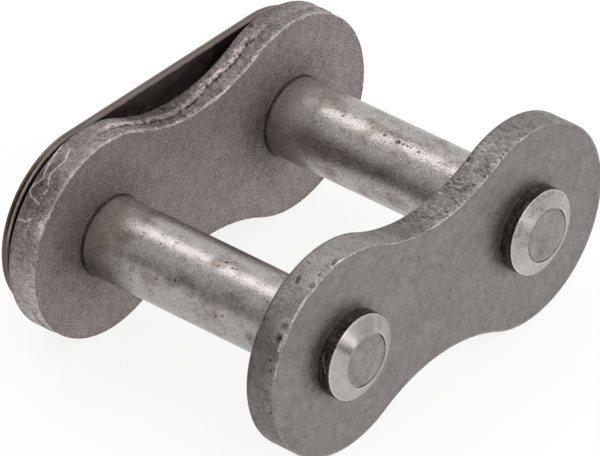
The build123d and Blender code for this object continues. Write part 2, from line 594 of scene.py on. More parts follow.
def outline_mesh(name, points):
    """Mesh of one closed loop of edges."""
    mesh = bpy.data.meshes.new(name)
    count = len(points)
    mesh.from_pydata([(x, y, 0.0) for x, y in points], [(i, (i + 1) % count) for i in range(count)], [])
    return mesh


def stamp(name, points, tree, sizes, surface, matrix):
    """Run the stamping tree on an outline, place the plain mesh that comes out and return its piece."""
    blank = new_piece(name + "_outline", outline_mesh(name + "_outline", points))
    modifier = blank.modifiers.new("Stamping", "NODES")
    modifier.node_group = tree
    sockets = {item.name: item.identifier for item in tree.interface.items_tree if item.in_out == "INPUT"}
    for socket_name, value in sizes.items():
        modifier[sockets[socket_name]] = value
    modifier[sockets["Surface"]] = surface
    graph = bpy.context.evaluated_depsgraph_get()
    mesh = bpy.data.meshes.new_from_object(blank.evaluated_get(graph))
    blank.modifiers.remove(modifier)
    bpy.data.objects.remove(blank)
    mesh.name = name
    mesh.transform(matrix)
    close_up(mesh, SHEET_SHARP_ANGLE)
    return new_piece(name, mesh)


# The lip raised round a pressed mark: its middle and its width as shares of the mark's radius, and its
# height as a share of the mark's depth
LIP_REACH = 1.15
LIP_WIDTH = 0.25
LIP_HEIGHT = 0.25


def strike(mesh, marks):
    """Press marks into a mesh, or raise them, and keep their strength as the attribute nick.

    A mark is (points, radius, depth), all in millimetres. It follows the line through its points, and a
    negative depth raises a bright ridge.
    """
    count = len(mesh.vertices)
    places = np.empty(count * 3)
    mesh.vertices.foreach_get("co", places)
    places = places.reshape(-1, 3) / MM
    normals = np.empty(count * 3)
    mesh.vertex_normals.foreach_get("vector", normals)
    normals = normals.reshape(-1, 3)
    sunk = np.zeros(count)
    strength = np.zeros(count)
    for points, radius, depth in marks:
        line = np.array(points)
        gap = np.full(count, np.inf)
        for start, end in zip(line, line[1:] if len(line) > 1 else line):
            run = end - start
            share = np.clip((places - start) @ run / max(run @ run, 1e-9), 0.0, 1.0)
            gap = np.minimum(gap, np.linalg.norm(places - start - share[:, None] * run, axis=1))
        gap /= radius
        hollow = np.clip(1.0 - gap**2, 0.0, 1.0) ** (2 if depth > 0 else 1)
        lip = np.exp(-(((gap - LIP_REACH) / LIP_WIDTH) ** 2)) if depth > 0 else 0.0
        sunk += (hollow - LIP_HEIGHT * lip) * depth
        strength += hollow * (1.0 if depth > 0 else -1.0) - lip * 0.1
    places -= normals * sunk[:, None]
    mesh.vertices.foreach_set("co", (places * MM).ravel())
    attribute = mesh.attributes.new("nick", "FLOAT", "POINT")
    attribute.data.foreach_set("value", np.clip(strength, -1.0, 1.0))
    mesh.update()


# Finishes


# Spacing of the fine rings that turning leaves on the heads, in millimetres
TURNING_SPACING = 0.09

# What a pin's mesh keeps at each point of its head
HEAD_MARKS = ("head_side", "head_flat", "head_bevel")

# Where the Mix node keeps its factor and its two colours, and its mixed colour
TINT_INPUTS = (0, 6, 7)
TINT_OUTPUT = 2


def new_material(name, seed=0.0):
    """Start a material. Return it with its graph, its shader and the place on the piece in millimetres."""
    material = bpy.data.materials.new(name)
    material.use_nodes = True
    graph = Graph(material.node_tree)
    shader = material.node_tree.nodes["Principled BSDF"]
    place = graph.node("ShaderNodeTexCoord").outputs["Object"]
    graph.place = graph.stretch(place, (1 / MM, 1 / MM, 1 / MM))
    graph.seed = seed
    return material, graph, shader, graph.place


def tint(graph, amount, first, second):
    """Blend two colours by a field."""
    node = graph.node("ShaderNodeMix", data_type="RGBA")
    for socket, value in zip(TINT_INPUTS, (amount, first, second)):
        graph.feed(node.inputs[socket], value)
    return Field(graph, node.outputs[TINT_OUTPUT])


def kept(graph, name):
    """Number that the mesh keeps at each point under a name."""
    return Field(graph, graph.node("ShaderNodeAttribute", attribute_name=name).outputs["Fac"])


def struck(graph):
    """How strongly each point is raised, and how strongly it is pressed in, by the marks struck into it."""
    nick = kept(graph, "nick")
    return graph.math("MAXIMUM", nick * -1.0, 0.0), graph.math("MAXIMUM", nick, 0.0)


def finish_metal(graph, shader, steel, tone, darkest, roughness, relief, depth_mm):
    """Make a shader a metal: a steel colour times a tone, never darker than a limit, with fine relief."""
    tone = graph.math("MAXIMUM", tone, darkest)
    graph.feed(shader.inputs["Base Color"], graph.stretch(steel, graph.combine(tone, tone, tone)))
    shader.inputs["Metallic"].default_value = 1.0
    graph.feed(shader.inputs["Roughness"], roughness)
    bump = {"Height": relief, "Distance": depth_mm * MM, "Strength": 1.0}
    graph.feed(shader.inputs["Normal"], graph.output("ShaderNodeBump", bump))


def plate_finish(
    name, colour, seed, grain, pin_shade, pin_shade_reach, rim_light, burr_shine, burr_foot, burr_end, chipped, stains
):
    """Tumbled plate steel: grained and mottled warm grey faces, and a rough, darker edge whose burrs carry a
    painted highlight.

    Painted shade darkens the faces round the pins, most to their upper left, out to about the reach given for
    it from their axes, with a thin painted contact shadow round each shank, and rim_light paints a highlight
    on the worn rim below and on the +X side. The burrs get a painted highlight above the height burr_foot, as
    far as burr_end along X. The edge is chipped within a (centre, reach). A stain is (centre, radius,
    strength), in millimetres. It lies on the edge only, and a negative strength is a brighter place.
    """
    material, graph, shader, place = new_material(name, seed)
    names = ("wall", "torn", "ridge", "crack", "gouge", "burr", "rim", "feather", "rolled")
    wall, torn, ridge, crack, gouge, burr, rim, feather, rolled = (kept(graph, mark) for mark in names)
    clouds = graph.waves(0.3, 0.0, detail=4.0, roughness=0.6)
    blotches = graph.waves(1.3, 2.0, detail=3.0, roughness=0.6)
    fine = graph.waves(10.0, 4.0, roughness=0.7, stretch=(0.75, 1.0, 1.0))
    specks = graph.spots(2.1, 6.0, 0.68, 0.75, detail=1.0)
    hairline = graph.waves(0.9, 14.0, detail=1.0, stretch=(0.3, 1.0, 0.8))
    scratched = graph.spots(0.45, 16.0, 0.52, 0.62)
    scratches = graph.band(hairline, 0.012, 0.0) * scratched
    face_tone = 1.0 + clouds * 0.4 + blotches * 0.85 + fine * grain - specks * 0.4 + scratches * 0.2
    crumbs = graph.waves(3.0, 8.0, detail=4.0, roughness=0.75, stretch=(1.0, 0.65, 1.0))
    grit = graph.waves(7.0, 10.0, detail=1.0)
    sparkle = graph.smooth(grit, 0.06, 0.2)
    chip_centre, chip_reach = chipped
    chips = graph.smooth(graph.distance(place, chip_centre) + blotches * 3.0, chip_reach, chip_reach * 0.5)
    strokes = graph.noise(place, 4.2, seed + 20.0, detail=2.0, roughness=0.6, stretch=(1.0, 0.4, 1.0))
    crevices = graph.smooth(strokes, 0.56, 0.65)
    crests = graph.smooth(strokes, 0.43, 0.35)
    edge_tone = 0.93 + crumbs * (0.8 + grain * 0.18 + ridge * 1.6 + chips * 0.8)
    # Within the chips, crests get a painted highlight and crevices painted shade, over their real relief.
    edge_tone = edge_tone + clouds * 0.9 + blotches * 0.9 + chips * (crests * 0.4 - crevices * 0.42 + 0.02)
    # Painted shade: the crack beside the ridge is painted dark, over its real depth.
    edge_tone = edge_tone + ridge * 1.4 - crack * 0.95 + grit * (0.1 + grain * 0.24)
    edge_tone = edge_tone - gouge * 0.25 - (1.0 - torn) * 0.1
    edge_tone = edge_tone + sparkle * (torn * 0.4 + ridge * 0.9)
    flakes = graph.spots(4.0, 18.0, 0.5, 0.62, roughness=0.7)
    near_burr = feather * feather
    edge_tone = edge_tone + flakes * (feather * grain * 0.1 + near_burr * chips * 1.5) * burr_shine
    # Painted shade: the rolled-over band is painted darker.
    edge_tone = edge_tone - rolled * 0.35
    for centre, radius, strength in stains:
        spread = graph.distance(place, centre) + (blotches + clouds) * (radius * 0.8)
        edge_tone = edge_tone * (1.0 - graph.smooth(spread, radius, radius * 0.3) * strength)
    # Painted shade round the pins: the faces are darker most to the upper left of each pin, with a thin
    # painted contact shadow ring round each shank.
    shaded_side = graph.vectors("ADD", place, (1.2, 0.0, -0.9))
    near_pin = graph.smooth(graph.pin_distance(shaded_side) + blotches * 1.2, pin_shade_reach, 3.6)
    shank = SHANK_RADIUS / MM
    contact_shadow = graph.smooth(graph.pin_distance(place), shank + 0.17, shank + 0.08)
    face_tone = face_tone - near_pin * pin_shade - contact_shadow * pin_shade * 1.6 - rim * 0.09
    x, _, z = graph.parts(place)
    # Painted highlight on the rim of the faces below and on the +X side.
    lit_side = graph.math("MAXIMUM", graph.smooth(x, 24.0, 32.0), graph.smooth(z, -2.0, -6.0))
    face_tone = face_tone + graph.smooth(rim, 0.6, 1.0) * lit_side * rim_light
    tone = graph.blend(wall, face_tone, edge_tone)
    # Painted highlight on the burrs: stronger high up and towards -X, broken into glints, and paler in
    # colour.
    glint = graph.spots(3.4, 12.0, 0.36, 0.6, detail=3.0, roughness=0.75)
    shining = graph.smooth(z, burr_foot, burr_foot + 3.0) * graph.smooth(x, burr_end, burr_end - 5.0)
    burr_highlight = burr * graph.blend(shining, 0.15, 1.0)
    patches = graph.spots(0.5, 22.0, 0.38, 0.6)
    burr_highlight = burr_highlight * (0.2 + glint * (1.0 + grit * 2.0)) * (0.45 + patches * 0.65)
    raised, pressed = struck(graph)
    raised = raised * (0.35 + glint)
    tone = tone + burr_highlight * burr_shine + raised * 2.0 - pressed * 0.72
    pale = sum(colour) / 3
    metal = tint(graph, (burr_highlight + raised) * 0.5, (*colour, 1.0), (pale, pale, pale, 1.0))
    roughness = 0.47 + clouds * 0.1 + fine * 0.12 + torn * 0.06 - burr * 0.1
    relief = fine * grain * 0.7 + blotches * 0.9 - specks * 1.0
    relief = relief + wall * (crumbs * (2.4 + chips * 2.0) - crevices * chips * 1.0)
    finish_metal(graph, shader, metal, tone, 0.12, roughness, relief, 0.02)
    return material


def pin_finish(colour):
    """Ground pin steel: mottled and stained, with faint rings, a dark head side and a turned bevel with
    painted highlights.
    """
    material, graph, shader, place = new_material("Pin Steel")
    head_side, head_flat, head_bevel = (kept(graph, mark) for mark in HEAD_MARKS)
    on_head = head_flat + head_bevel
    turned = graph.noise(graph.combine(graph.pin_distance(place) / TURNING_SPACING, 0.0, 0.0), 1.0, 2.0)
    rings = graph.waves(1.0, 1.0, detail=3.0, roughness=0.6, stretch=(0.2, 7.0, 0.2))
    grain = graph.waves(3.4, 3.0, detail=3.0, roughness=0.7)
    mottle = graph.waves(0.9, 5.0, detail=3.0, roughness=0.6)
    clouds = graph.waves(0.3, 7.0, stretch=(1.0, 0.7, 1.0))
    stain = graph.spots(0.55, 13.0, 0.5, 0.68, detail=4.0, stretch=(1.0, 0.6, 1.0))
    pits = graph.spots(2.3, 17.0, 0.69, 0.74, detail=1.0)
    speckle = graph.waves(7.0, 19.0, detail=1.0)
    x, y, z = graph.parts(place)
    on_right = graph.math("GREATER_THAN", x, HALF_PITCH / MM)
    sandy = (grain * 0.95 + speckle * (0.9 + on_right * 0.7)) * (1.0 - on_head * 0.55)
    corroded = graph.spots(0.42, 33.0, 0.5, 0.58)
    wander = graph.waves(1.2, 31.0, detail=3.0, roughness=0.6, stretch=(1.0, 0.6, 1.0))
    veins = graph.band(wander, 0.022, 0.004) * corroded * (1.0 - on_head)
    # The right pin is painted a little brighter, as a stronger highlight.
    tone = 1.0 + rings * 0.16 + sandy + mottle * 0.6 + clouds * 0.3 - veins * 0.4 + on_right * 0.06
    tone = tone - pits * (1.0 - on_head * 0.8) * 0.5 - stain * (1.0 - on_head) * 0.22
    # Painted light near the connecting plate: a highlight on the pins' upper half and painted shade on their
    # lower half.
    tone = tone + graph.smooth(y, 8.0, 10.2) * (graph.smooth(z, -1.0, 2.0) * 0.8 - 0.2)

    # The head: painted light that fans out over the turned bevel, and painted shade and highlight along the
    # lines turned round the flat
    beside = x - on_right * (PITCH / MM)
    gap = graph.math("SQRT", beside * beside + z * z)
    fan = 0.0
    turn = graph.math("ARCTAN2", beside * -1.0, z) + (mottle + grain) * 0.25
    for right_head, centre, half_width, strength in BEVEL_LIGHT:
        lit = graph.band(turn - radians(centre), radians(half_width), 0.0)
        this_head = on_right if right_head else 1.0 - on_right
        fan = fan + lit * this_head * strength
    blots = graph.spots(1.6, 29.0, 0.52, 0.62, detail=3.0, roughness=0.65)
    turned_marks = (turned - 0.5) * (0.35 + graph.math("ABSOLUTE", fan) * 2.0)
    bevel_tone = fan + turned_marks + 0.1 - blots * on_right * graph.smooth(z, -1.5, 1.0) * 0.3
    # Painted highlight along the bevel's rim.
    bevel_tone = bevel_tone + graph.smooth(gap, *BEVEL_RIM) * 0.35
    # Painted shade: the head's flat is darker than the bevel.
    tone = tone + head_bevel * bevel_tone + head_flat * (mottle * 0.3 - 0.29)
    # Painted shade and highlight at the turned line round the flat: on the lower right of each head a dark
    # ring inside and a bright ring outside, elsewhere a faint light ring on the left head and a dotted dark
    # ring on the right head.
    downhill = graph.smooth(beside * 0.8 - z * 0.6, -0.4, 1.4)
    dark_line = graph.band(gap - HEAD_DARK_RING, 0.16, 0.06)
    bright_line = graph.band(gap - HEAD_BRIGHT_RING, 0.16, 0.06)
    tone = tone + on_head * downhill * (bright_line * 0.5 - dark_line * 0.85)
    dotted = on_right * (0.2 + graph.smooth(grain + mottle, -0.05, 0.1) * 0.4)
    tone = tone + on_head * (1.0 - downhill) * dark_line * (0.2 - dotted)
    side_rings = graph.waves(1.0, 23.0, stretch=(0.15, 3.2, 0.15))
    dark_side = head_side * (0.68 - side_rings * 1.2 - mottle * 0.7 - grain * 1.2)
    tone = tone * (1.0 - dark_side)
    raised, pressed = struck(graph)
    tone = tone + raised - pressed * 0.85
    brown = (colour[0] * 0.7, colour[1] * 0.6, colour[2] * 0.52, 1.0)
    stained = stain * (1.0 - on_head * 0.8)
    steel = tint(graph, stained * 0.5 + head_side * 0.8, (*colour, 1.0), brown)
    roughness = 0.29 + grain * 0.2 + mottle * 0.1 + stain * 0.08 + on_head * 0.06 + head_side * 0.1
    relief = rings * 0.35 + sandy * 1.35 - pits * 0.8 - veins * 0.6 + on_head * turned * 1.6
    finish_metal(graph, shader, steel, tone, 0.08, roughness, relief, 0.012)
    return material


def clip_finish(colour):
    """Tempered spring steel: dark brown and mottled, with a paler cut edge that darkens round its end, and
    painted highlight and shade lines along its corners.
    """
    material, graph, shader, place = new_material("Clip Steel")
    edge = kept(graph, "wall")
    corner = kept(graph, "burr")
    clouds = graph.waves(0.35, 3.0, detail=4.0, roughness=0.6)
    fine = graph.waves(5.0, 6.0, detail=3.0, roughness=0.65)
    rust = graph.spots(0.7, 8.0, 0.5, 0.72, detail=4.0, roughness=0.65)
    x, y, z = graph.parts(place)
    closed_end = graph.smooth(x, 4.0, -6.0)
    layers = graph.waves(1.0, 12.0, roughness=0.6, stretch=(0.12, 3.6, 0.12))
    towards_plate = graph.smooth(y, CLIP_LOW.y / MM + 0.3, CLIP_LOW.y / MM + 0.1) * (1.0 - edge)
    # Painted shade: the burred corner of the cut edge is painted darker, against the light that its rounding
    # catches.
    tone = 0.5 + edge * 0.8 - corner * 0.35 + clouds * 0.8 + fine * 1.4 - closed_end * edge * 0.47
    tone = tone + layers * edge * (0.6 + closed_end * 1.2) + towards_plate * (0.4 + rust * 1.2)
    layered = closed_end * edge * graph.smooth(z, 1.5, 3.5) * graph.smooth(z, 9.2, 7.0)
    light_layer = graph.band(y - CLIP_LOW.y / MM - 0.2, 0.14, 0.06)
    dark_layer = graph.band(y - CLIP_LOW.y / MM - 0.46, 0.15, 0.06)
    tone = tone + layered * (light_layer * (1.9 + fine * 4.0) - dark_layer * 0.75)
    # Along the straight edge: a painted highlight line at the far corner and a painted band of shade beside
    # it.
    straight = edge * (1.0 - closed_end)
    far_corner_highlight = graph.band(y - CLIP_HIGH.y / MM + 0.16, 0.14, 0.05)
    far_band_shade = graph.band(y - CLIP_HIGH.y / MM + 0.36, 0.15, 0.06)
    tone = tone + straight * (far_corner_highlight * 0.35 - far_band_shade * (0.42 + fine))
    brown = (colour[0] * 1.06, colour[1] * 1.04, colour[2] * 0.84, 1.0)
    steel = tint(graph, graph.math("MAXIMUM", rust * 0.7, closed_end * 0.8), (*colour, 1.0), brown)
    roughness = 0.4 + clouds * 0.15 + fine * 0.1
    finish_metal(graph, shader, steel, tone, 0.15, roughness, fine * 0.8 + clouds * 0.5, 0.01)
    return material


# Plates


# Marks on the plates' edges, each as (points, radius, depth) in millimetres. A negative depth raises a ridge.
FRONT_MARKS = (
    (((-3.09, -15.53, 9.93),), 0.3, 0.07),
    (((-4.34, -15.66, 9.45),), 0.44, 0.11),
    (((-4.6, -14.18, 9.33), (-4.13, -14.02, 9.54)), 0.34, 0.05),
    (((-7.82, -15.37, 6.86),), 0.5, 0.11),
    (((-8.55, -15.4, 5.92),), 0.54, 0.13),
    (((-0.87, -15.53, 10.36), (-1.5, -15.75, 10.29)), 0.26, 0.06),
    (((-9.59, -15.22, 4.01),), 0.24, 0.04),
    (((-9.9, -15.5, 3.1),), 0.2, 0.03),
    (((-10.3, -15.7, -1.2),), 0.22, 0.05),
    (((-8.21, -15.85, 6.38), (-8.64, -15.78, 5.79), (-9.16, -15.81, 4.92)), 0.13, -0.03),
    (((-5.2, -15.95, 9.0), (-6.6, -15.98, 8.03), (-7.5, -15.95, 7.2)), 0.11, -0.02),
    (((-0.3, -16.0, 10.39), (-1.03, -15.95, 10.35), (-1.83, -15.85, 10.24)), 0.13, -0.03),
)
FRONT_STAINS = (
    ((-9.6, -13.8, 4.6), 4.6, 0.32),
    ((-10.2, -14.6, -2.5), 6.0, 0.3),
    ((-7.8, -15.8, 6.8), 2.2, -0.35),
    ((-4.2, -15.6, 9.4), 2.0, -0.25),
    ((0.5, -14.5, 10.0), 5.5, -0.2),
    ((10.5, -14.2, 7.4), 3.4, 0.22),
    ((22.0, -14.6, 10.0), 5.0, -0.12),
)
FAR_STAINS = (
    ((-6.6, 14.3, 7.7), 4.2, 0.4),
    ((-5.4, 12.9, 8.9), 1.9, -0.4),
    ((-7.4, 12.9, 7.3), 1.9, -0.5),
    ((-8.8, 13.0, 5.5), 1.9, -0.5),
    ((-10.3, 14.4, -2.5), 6.5, -0.45),
    ((10.0, 15.9, 7.4), 7.0, 0.4),
    ((25.0, 14.5, 10.4), 6.0, 0.12),
)
FAR_MARKS = (
    (
        (
            (-2.6, 15.95, 10.06), (-3.41, 15.86, 9.82), (-4.41, 15.71, 9.42),
            (-5.39, 15.58, 8.89), (-6.02, 15.27, 8.48), (-6.57, 15.65, 8.06),
            (-7.07, 15.96, 7.63), (-7.53, 15.55, 7.17), (-7.59, 15.01, 7.11),
            (-7.7, 14.42, 6.99), (-8.05, 14.0, 6.58), (-8.52, 13.47, 5.96),
        ),
        0.13,
        -0.05,
    ),
    (
        (
            (-2.57, 15.02, 10.08), (-3.85, 14.48, 9.66), (-4.61, 14.67, 9.32),
            (-5.5, 14.86, 8.82), (-6.13, 14.56, 8.4), (-6.52, 14.21, 8.1),
            (-7.34, 14.36, 7.37), (-8.02, 13.89, 6.62),
        ),
        0.12,
        -0.04,
    ),
    (((-8.98, 15.93, 5.24), (-8.88, 14.9, 5.41), (-8.52, 14.21, 5.97)), 0.12, -0.02),
    (((-8.71, 13.32, 5.69),), 0.42, -0.06),
    (((23.05, 15.74, 10.13),), 0.5, 0.08),
    (((29.5, 13.8, 9.6),), 0.5, 0.06),
)


def build_plates():
    """Stamp the front plate and the connecting plate in place of their solids."""
    plate = bpy.context.scene.link_plate
    tree = stamping_tree(with_holes=True)
    outline = plate_outline(plate)
    sizes = {
        "Thickness": PLATE_THICKNESS,
        "Edge Round": plate.edge_round,
        "Corner Round": plate.corner_round,
        "Rim Width": plate.rim_width,
        "Mesh Step": plate.width_step,
        "Hole Spacing": PITCH,
    }
    front_sizes = {
        "Tear Height": plate.tear_height * 2.2,
        "Corner Round": plate.corner_round * 0.85,
        "Tear Depth": 0.035 * MM,
        "Ridge Height": 0.0,
        "Gouge Depth": 0.07 * MM,
        "Burr Height": 0.05 * MM,
        "Wear Centre": (-5.0 * MM, 8.5 * MM, 1.5 * MM),
        "Wear Radius": 14.0 * MM,
        "Hole Radius": PIN_HIGH.z,
        "Seed": 2.0,
    }
    far_sizes = {
        "Tear Height": plate.tear_height,
        "Corner Round": plate.corner_round * 1.8,
        "Tear Depth": 0.1 * MM,
        "Ridge Height": 0.07 * MM,
        "Gouge Depth": 0.02 * MM,
        "Burr Height": 0.05 * MM,
        "Wear Centre": (1.0 * MM, 8.0 * MM, 2.0 * MM),
        "Wear Radius": 14.5 * MM,
        "Hole Radius": bpy.context.scene.link_pin.slip_seat_radius + 0.04 * MM,
        "Seed": 57.0,
    }
    front_surface = plate_finish(
        "Front Plate Steel",
        plate.front_colour,
        seed=3.0,
        grain=2.1,
        pin_shade=0.28,
        pin_shade_reach=5.6,
        rim_light=0.32,
        burr_shine=0.82,
        burr_foot=0.0,
        burr_end=29.0,
        chipped=((16.5, -14.6, 8.3), 9.0),
        stains=FRONT_STAINS,
    )
    far_surface = plate_finish(
        "Connecting Plate Steel",
        plate.far_colour,
        seed=41.0,
        grain=5.6,
        pin_shade=0.36,
        pin_shade_reach=8.2,
        rim_light=0.0,
        burr_shine=1.15,
        burr_foot=3.5,
        burr_end=60.0,
        chipped=((8.5, 14.6, 8.0), 8.5),
        stains=FAR_STAINS,
    )
    plates = (
        ("Front_Plate", "front_plate", front_sizes, front_surface, FRONT_MARKS),
        ("Connecting_Plate", "connecting_plate", far_sizes, far_surface, FAR_MARKS),
    )
    for name, node, own_sizes, surface, marks in plates:
        burred_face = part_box(node)[0].y
        place = Matrix.Translation((HALF_PITCH, burred_face, 0)) @ TURN_OVER
        piece = stamp(name, outline, tree, {**sizes, **own_sizes}, surface, place)
        strike(piece.data, marks)
        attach(piece, "root")
        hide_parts(node)


# Pins


# Light on the heads' bevels, each as (on the right head, turn from the top towards the left in degrees, half
# width in degrees, strength). A negative strength is a dark band.
BEVEL_LIGHT = (
    (False, 29.0, 12.0, 0.68),
    (False, 45.0, 10.0, -0.5),
    (False, 105.0, 45.0, 0.08),
    (False, -30.0, 9.0, 0.22),
    (False, -10.0, 60.0, -0.3),
    (True, 40.0, 14.0, 0.14),
    (True, 62.0, 22.0, -0.26),
    (True, 125.0, 40.0, 0.2),
    (True, 5.0, 50.0, -0.3),
)

# Half the width of the line turned round the flat of the head, the radii of its painted dark and bright rings
# of shade and highlight, and the radii between which the bevel gets a painted highlight at its rim, in
# millimetres
HEAD_LINE = 0.09
HEAD_DARK_RING = 2.63
HEAD_BRIGHT_RING = 2.84
BEVEL_RIM = (4.08, 4.18)

# Spacing of the ground rings along the shank and of the turned rings on the head
SHANK_RINGS = 0.16 * MM
HEAD_RINGS = 0.1 * MM

# A raised scratch on the left head's side, as (station along the pin in millimetres, turn in degrees), and
# its (radius, depth) in millimetres
HEAD_SCRATCH = ((-16.45, 154.5), (-16.97, 172.0), (-17.07, 205.0))
SCRATCH_SIZE = (0.09, -0.03)

# Pits in the pins, each as (station along the pin in millimetres, turn in degrees, radius, depth)
LEFT_PITS = (
    (-2.1, 98.4, 0.28, 0.05),
    (-3.1, 102.9, 0.22, 0.05),
    (-3.5, 101.0, 0.18, 0.04),
    (1.6, 152.0, 0.2, 0.04),
    (-4.4, 168.0, 0.22, 0.04),
    (4.8, 118.0, 0.16, 0.03),
)
RIGHT_PITS = (
    (5.4, 107.9, 0.22, 0.04),
    (4.6, 107.5, 0.16, 0.03),
    (1.9, 105.5, 0.18, 0.03),
    (0.3, 107.5, 0.22, 0.05),
    (-1.4, 108.7, 0.33, 0.08),
    (-2.0, 108.0, 0.24, 0.05),
    (-2.5, 108.2, 0.19, 0.04),
    (-2.9, 107.4, 0.18, 0.04),
    (-3.9, 108.9, 0.24, 0.06),
    (-6.5, 109.1, 0.15, 0.04),
    (-6.8, 109.8, 0.15, 0.05),
    (-7.1, 108.9, 0.15, 0.05),
    (-7.4, 109.9, 0.15, 0.05),
    (-7.7, 109.5, 0.15, 0.04),
    (2.4, 96.0, 0.16, 0.03),
)


def pin_profile(pin):
    """Corners of a turned pin as (station along the pin, radius, spacing of the rings up to it, round)."""
    plate_outer = PLATE_LOW.y
    plate_inner = PLATE_HIGH.y
    shoulder = FAR_PLATE_LOW.y
    groove_start = CLIP_LOW.y - 0.1 * MM
    groove_end = CLIP_HIGH.y + 0.1 * MM
    fine = 0.06 * MM
    coarse = 0.12 * MM
    flat = pin.head_flat_radius
    line = HEAD_LINE * MM
    return (
        (PIN_LOW.y, 0.02 * MM, 0, 0),
        (PIN_LOW.y, flat - line, fine, 0),
        (PIN_LOW.y + line * 0.4, flat, fine, 0),
        (PIN_LOW.y + line * 0.5, flat + line, fine, 0),
        (plate_outer - pin.head_side_height, PIN_HIGH.z, fine, 0.12 * MM),
        (plate_outer, PIN_HIGH.z, fine, 0),
        (plate_inner, PIN_HIGH.z, 1.0 * MM, 0),
        (plate_inner, SHANK_RADIUS, coarse, 0),
        (shoulder - 0.3 * MM, SHANK_RADIUS, coarse, 0),
        (shoulder, pin.slip_seat_radius + 0.12 * MM, fine, 0),
        (shoulder, pin.slip_seat_radius, fine, 0),
        (groove_start, pin.slip_seat_radius, coarse, 0.06 * MM),
        (groove_start, pin.groove_radius, coarse, 0),
        (groove_end, pin.groove_radius, coarse, 0),
        (groove_end, pin.slip_seat_radius, coarse, 0.06 * MM),
        (PIN_HIGH.y - 0.6 * MM, pin.slip_seat_radius, fine, 0.08 * MM),
        (PIN_HIGH.y, pin.slip_seat_radius - 0.6 * MM, fine, 0.08 * MM),
        (PIN_HIGH.y, 0.02 * MM, coarse, 0),
    )


def turned_rings(corners):
    """Stations and radii of all rings, from the corners of the profile, some of which are rounded."""
    path = []
    for i, (y, radius, spacing, reach) in enumerate(corners):
        here = Vector((y, radius))
        if not reach:
            path.append((here, spacing))
            continue
        before = here + (Vector(corners[i - 1][:2]) - here).normalized() * reach
        after = here + (Vector(corners[i + 1][:2]) - here).normalized() * reach
        path.append((before, spacing))
        for share in (0.25, 0.5, 0.75, 1.0):
            bend = before * (1 - share) ** 2 + here * (2 * share * (1 - share)) + after * share**2
            path.append((bend, reach))
    rings = [tuple(path[0][0])]
    for (start, _), (end, spacing) in zip(path, path[1:]):
        count = max(1, round((end - start).length / spacing))
        rings += [tuple(start.lerp(end, i / count)) for i in range(1, count + 1)]
    return rings


def pin_mesh(name, axis_x, pin, seed):
    """Turn a pin: rings of points along its profile, with faint relief, and a closed tip at each end."""
    rings = turned_rings(pin_profile(pin))
    count = pin.segments
    turns = [(cos(2 * pi * i / count), sin(2 * pi * i / count)) for i in range(count)]
    flat = pin.head_flat_radius
    points = []
    marks = {mark: [] for mark in HEAD_MARKS}
    for y, radius in rings:
        on_shank = PLATE_HIGH.y < y < FAR_PLATE_LOW.y
        on_head = y < PLATE_LOW.y
        straight = y > PLATE_LOW.y - pin.head_side_height
        for cos_turn, sin_turn in turns:
            drop = 0.0
            if on_shank:
                drop = noise.noise(Vector((cos_turn * 0.5, y / SHANK_RINGS, sin_turn * 0.5 + seed)))
            elif on_head:
                drop = noise.noise(Vector((cos_turn * 0.4 + seed, radius / HEAD_RINGS, sin_turn * 0.4)))
            drop = pin.ring_depth * (drop - 1.0) if on_shank or on_head else 0.0
            lift = 0.0 if straight else drop
            local = radius + drop - lift
            points.append((axis_x + local * cos_turn, y - lift, local * sin_turn))
        marks["head_side"] += [1.0 if on_head and straight else 0.0] * count
        marks["head_flat"] += [1.0 if on_head and radius <= flat else 0.0] * count
        marks["head_bevel"] += [1.0 if on_head and radius > flat and not straight else 0.0] * count
    faces = []
    for ring in range(len(rings) - 1):
        for i in range(count):
            j = (i + 1) % count
            faces.append((ring * count + i, ring * count + j, (ring + 1) * count + j, (ring + 1) * count + i))
    first_tip = len(points)
    points += [(axis_x, rings[0][0], 0.0), (axis_x, rings[-1][0], 0.0)]
    last = (len(rings) - 1) * count
    for i in range(count):
        j = (i + 1) % count
        faces.append((first_tip, j, i))
        faces.append((first_tip + 1, last + i, last + j))
    mesh = bpy.data.meshes.new(name)
    mesh.from_pydata(points, [], faces)
    for mark, values in marks.items():
        tips = [1.0, 0.0] if mark == "head_flat" else [0.0, 0.0]
        attribute = mesh.attributes.new(mark, "FLOAT", "POINT")
        attribute.data.foreach_set("value", values + tips)
    return mesh


def build_pins():
    """Turn both pins in place of their solids."""
    pin = bpy.context.scene.link_pin
    surface = pin_finish(pin.colour)
    reach = SHANK_RADIUS / MM
    head_reach = PIN_HIGH.z / MM
    pins = (
        ("Left_Pin", "left_pin", 0.0, 3.7, LEFT_PITS, HEAD_SCRATCH),
        ("Right_Pin", "right_pin", PITCH, 11.3, RIGHT_PITS, ()),
    )
    for name, node, axis_x, seed, pits, scratch in pins:
        mesh = pin_mesh(name, axis_x, pin, seed)
        close_up(mesh, PIN_SHARP_ANGLE)
        mesh.materials.append(surface)
        axis = axis_x / MM
        nicks = []
        for y, degrees, radius, depth in pits:
            turn = radians(degrees)
            nicks.append((((axis + reach * cos(turn), y, reach * sin(turn)),), radius, depth))
        if scratch:
            turns = [(y, radians(degrees)) for y, degrees in scratch]
            line = [(axis + head_reach * cos(turn), y, head_reach * sin(turn)) for y, turn in turns]
            nicks.append((line, *SCRATCH_SIZE))
        strike(mesh, nicks)
        piece = new_piece(name, mesh)
        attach(piece, "root")
        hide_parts(node)


# Clip


